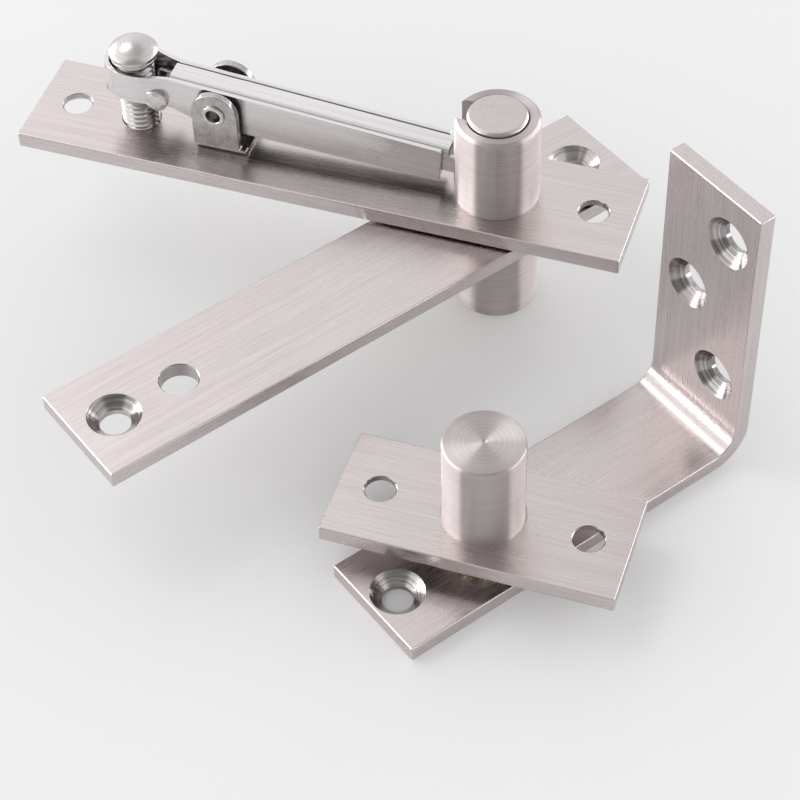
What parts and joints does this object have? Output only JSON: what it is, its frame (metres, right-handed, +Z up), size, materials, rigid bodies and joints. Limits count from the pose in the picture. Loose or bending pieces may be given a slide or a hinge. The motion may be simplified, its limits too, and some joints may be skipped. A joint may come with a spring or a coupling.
{
  "type": "pivot hinge",
  "caption": "Centre pivot hinge for a swing door: a head plate whose screw and lever draw a sliding pin out of the door, and an angle bracket whose fixed pin carries the door on a bearing.",
  "frame": {"origin": "axis of the floor pin at the underside of the floor bracket", "axes": "+Z up along both pivot axes, +X along the head plate from the lifting screw to the barrel"},
  "size_m": [0.1621, 0.1283, 0.0655],
  "materials": {
    "plate_steel": "brushed along the plate",
    "turned_steel": "turned and polished",
    "lever_sheet": "satin",
    "bracket_sheet": "satin, lightly scratched",
    "rivet_steel": "bright",
    "screw_steel": "satin",
    "bearing_brass": "plain turned",
    "bearing_steel": "polished"
  },
  "bodies": {
    "frame_side": {"head_plate": "plate_steel", "guide_barrel": "turned_steel", "fulcrum_bracket": "bracket_sheet", "fulcrum_rivet": "rivet_steel", "floor_bracket": "plate_steel", "floor_pin": "turned_steel", "lower_race": "bearing_steel"},
    "lever": {"lever_strap": "lever_sheet", "lever_channel": "lever_sheet", "lever_rivet": "rivet_steel"},
    "pivot_pin": {"pivot_pin": "turned_steel"},
    "screw_seat": {"screw_washer": "screw_steel"},
    "lifting_screw": {"adjusting_screw": "screw_steel"},
    "door_top": {"door_top_plate": "plate_steel", "door_top_cup": "turned_steel", "door_top_bush": "bearing_brass"},
    "door_bottom": {"door_bottom_plate": "plate_steel", "door_bottom_cup": "turned_steel", "door_bottom_bush": "bearing_brass", "upper_race": "bearing_steel"},
    "ball_set": {"thrust_balls": "bearing_steel", "ball_cage": "bearing_brass"}
  },
  "joints": [
    {"name": "pin_slide", "type": "slide", "parent": "frame_side", "child": "pivot_pin", "axis": [0, 0, 1], "range_m": [0, 0.01343]},
    {"name": "screw_travel", "type": "slide", "parent": "frame_side", "child": "screw_seat", "axis": [0, 0, 1], "range_m": [-0.0047, 0]},
    {"name": "screw_turn", "type": "hinge", "parent": "screw_seat", "child": "lifting_screw", "pos_m": [-0.0962, 0.0685, 0.045], "axis": [0, 0, 1], "range_deg": [-1350, 0]},
    {"name": "lever_tilt", "type": "hinge", "parent": "frame_side", "child": "lever", "pos_m": [-0.0769, 0.0685, 0.03865], "axis": [0, -1, 0], "range_deg": [0, 14.01]},
    {"name": "door_top_swing", "type": "hinge", "parent": "frame_side", "child": "door_top", "pos_m": [-0.018, 0.0685, 0.0225], "axis": [0, 0, 1], "range_deg": [-235, 30]},
    {"name": "door_bottom_swing", "type": "hinge", "parent": "frame_side", "child": "door_bottom", "pos_m": [0, 0, 0.00945], "axis": [0, 0, 1], "continuous": true},
    {"name": "ball_orbit", "type": "hinge", "parent": "frame_side", "child": "ball_set", "pos_m": [0, 0, 0.0056], "axis": [0, 0, 1], "continuous": true}
  ],
  "couplings": [
    {"joint": "screw_travel", "follows": "pin_slide", "ratio": -0.34902},
    {"joint": "screw_turn", "follows": "pin_slide", "rad_per_m": -1754.4},
    {"joint": "lever_tilt", "follows": "pin_slide", "rad_per_m": 18.194},
    {"joint": "ball_orbit", "follows": "door_bottom_swing", "ratio": 0.5}
  ]
}
